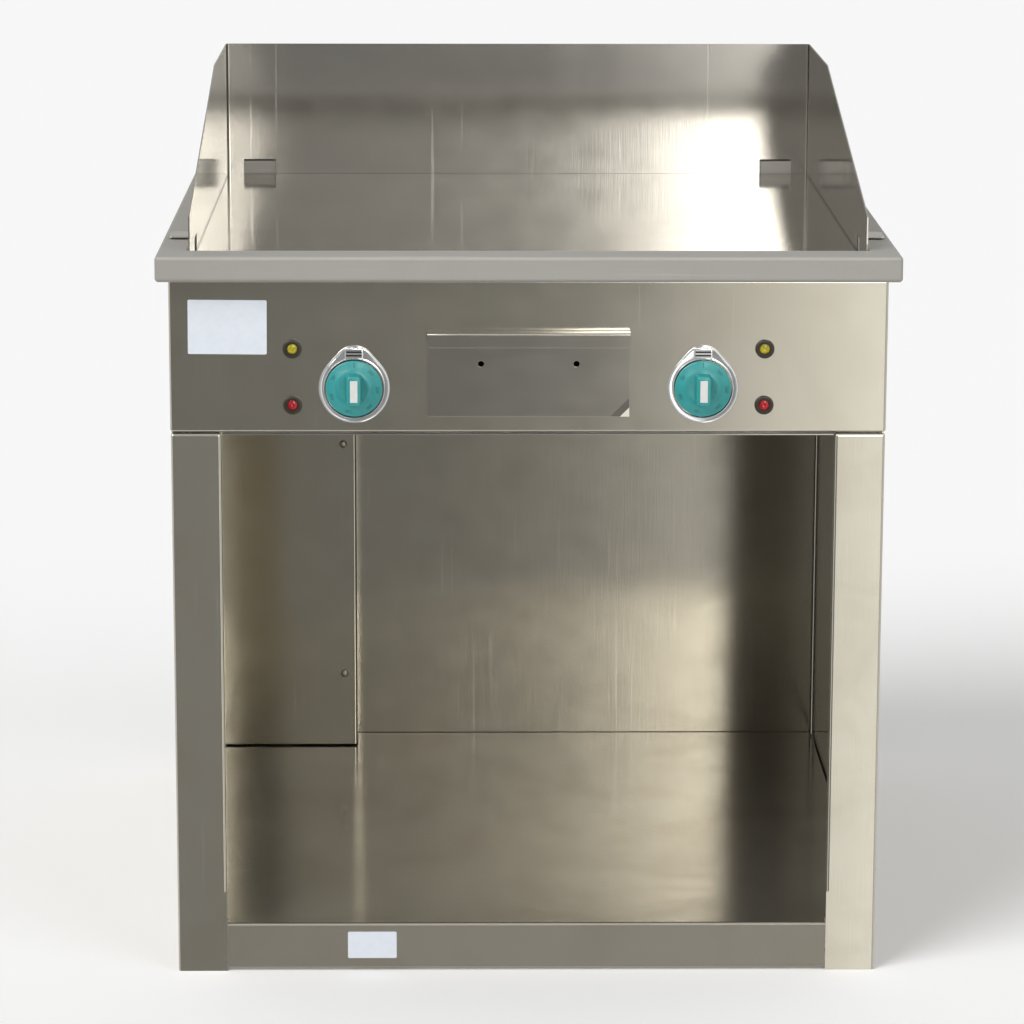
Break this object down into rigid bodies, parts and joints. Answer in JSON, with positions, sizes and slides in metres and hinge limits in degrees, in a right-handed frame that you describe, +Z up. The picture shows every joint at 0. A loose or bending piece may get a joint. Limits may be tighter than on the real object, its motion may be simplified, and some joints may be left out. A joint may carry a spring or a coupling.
{
  "type": "electric flat top griddle",
  "caption": "Free-standing electric flat top griddle: smooth recessed plate, lift-off splash guard, two knobs, lamps and grease drawer over an open base.",
  "frame": {"origin": "on the floor, under the middle of the griddle's outline", "axes": "+X to the right of someone who stands at the controls, +Y from the controls towards the back, +Z up"},
  "size_m": [0.8, 0.8561, 0.951],
  "materials": {
    "satin_steel": "satin",
    "galvanised_steel": "matte",
    "plate_steel": "polished",
    "fastener_steel": "bright",
    "chrome": "polished",
    "knob_plastic": "semi-gloss",
    "insert_plastic": "matte",
    "lamp_bezel_plastic": "gloss",
    "yellow_lens": "gloss",
    "red_lens": "gloss",
    "black_plastic": "matte",
    "white_plastic": "matte",
    "brass": "bright",
    "shaft_steel": "bright",
    "element_sheath": "heat-tinted",
    "copper": "dull",
    "switch_metal": "matte",
    "mineral_wool": "fibrous"
  },
  "bodies": {
    "cabinet": {"worktop_deck": "satin_steel", "left_side_panel": "satin_steel", "right_side_panel": "satin_steel", "back_panel": "satin_steel", "floor_shelf": "satin_steel", "compartment_ceiling": "satin_steel", "control_panel": "satin_steel", "service_cover": "satin_steel", "service_cover_bracket": "satin_steel", "front_cross_beam": "galvanised_steel", "rear_cross_beam": "galvanised_steel", "left_drawer_runner": "galvanised_steel", "right_drawer_runner": "galvanised_steel", "heat_shield_tray": "galvanised_steel", "tray_supports": "galvanised_steel", "foot_gussets": "galvanised_steel", "drain_chute": "galvanised_steel", "griddle_plate": "plate_steel", "service_cover_screws": "fastener_steel", "worktop_screws": "fastener_steel", "clamp_studs": "fastener_steel", "clamp_nuts": "fastener_steel", "foot_bushes": "fastener_steel", "left_element_clamps": "fastener_steel", "right_element_clamps": "fastener_steel", "left_knob_bezel": "chrome", "right_knob_bezel": "chrome", "lamp_bezels": "lamp_bezel_plastic", "yellow_lamp_lenses": "yellow_lens", "red_lamp_lenses": "red_lens", "lamp_housings": "black_plastic", "cable_gland": "black_plastic", "gland_locknut": "black_plastic", "terminal_block": "white_plastic", "left_thermostat": "white_plastic", "right_thermostat": "white_plastic", "bonding_stud": "brass", "left_heating_element": "element_sheath", "right_heating_element": "element_sheath", "left_sensing_bulb": "copper", "right_sensing_bulb": "copper", "left_limit_switch": "switch_metal", "right_limit_switch": "switch_metal", "insulation_blanket": "mineral_wool"},
    "left_knob": {"left_knob": "knob_plastic", "left_knob_insert": "insert_plastic", "left_thermostat_shaft": "shaft_steel"},
    "right_knob": {"right_knob": "knob_plastic", "right_knob_insert": "insert_plastic", "right_thermostat_shaft": "shaft_steel"},
    "grease_drawer": {"drawer_front": "satin_steel", "drawer_pan": "satin_steel"},
    "splash_guard": {"splash_guard": "satin_steel"}
  },
  "joints": [
    {"name": "left_knob_turn", "type": "hinge", "parent": "cabinet", "child": "left_knob", "pos_m": [-0.188, -0.4055, 0.6585], "axis": [0, 1, 0], "range_deg": [0, 315]},
    {"name": "right_knob_turn", "type": "hinge", "parent": "cabinet", "child": "right_knob", "pos_m": [0.188, -0.4055, 0.6585], "axis": [0, 1, 0], "range_deg": [0, 315]},
    {"name": "grease_drawer_slide", "type": "slide", "parent": "cabinet", "child": "grease_drawer", "axis": [0, -1, 0], "range_m": [0, 0.4]},
    {"name": "splash_guard_lift", "type": "slide", "parent": "cabinet", "child": "splash_guard", "axis": [0, 0, 1], "range_m": [0, 0.2]}
  ]
}
